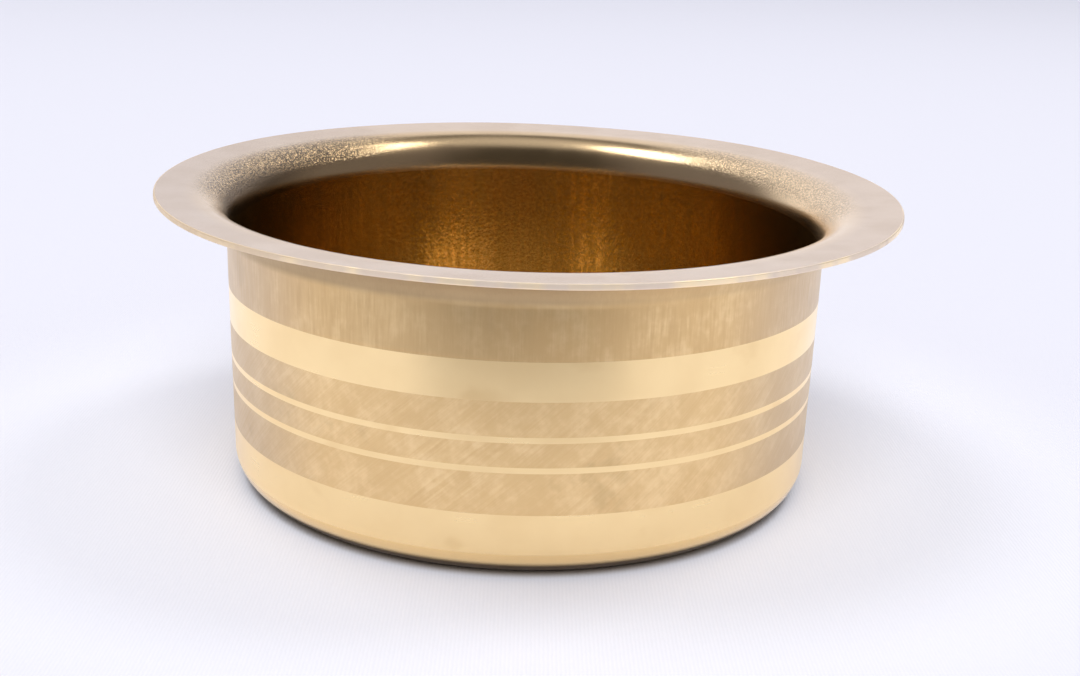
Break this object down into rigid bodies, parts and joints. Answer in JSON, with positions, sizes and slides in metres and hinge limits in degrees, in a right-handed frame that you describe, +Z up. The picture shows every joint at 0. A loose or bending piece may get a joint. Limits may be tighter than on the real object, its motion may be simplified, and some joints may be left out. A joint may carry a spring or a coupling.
{
  "type": "brass dabara bowl",
  "caption": "Low round flat-bottomed brass bowl with a wide flat rim, a rounded shoulder and polished bands turned round a brushed wall; used to cool and drink coffee.",
  "frame": {"origin": "middle of the base, on the surface that the bowl stands on", "axes": "+Z up through the mouth, along the bowl's axis; the bowl is round, so X and Y are any two directions along the table"},
  "size_m": [0.11, 0.11, 0.0446],
  "materials": {
    "rim_brass": "satin, as drawn, with fine orange peel on the bend",
    "matte_brass": "brushed",
    "polished_brass": "turned bright",
    "base_brass": "as drawn, slightly dull"
  },
  "bodies": {
    "root": {"rim_flange": "rim_brass", "rim_shoulder": "rim_brass", "upper_matte_band": "matte_brass", "upper_polished_band": "polished_brass", "middle_matte_band": "matte_brass", "upper_polished_line": "polished_brass", "centre_matte_band": "matte_brass", "lower_polished_line": "polished_brass", "lower_matte_band": "matte_brass", "lower_polished_band": "polished_brass", "base_corner": "polished_brass", "base_floor": "base_brass"}
  },
  "joints": []
}
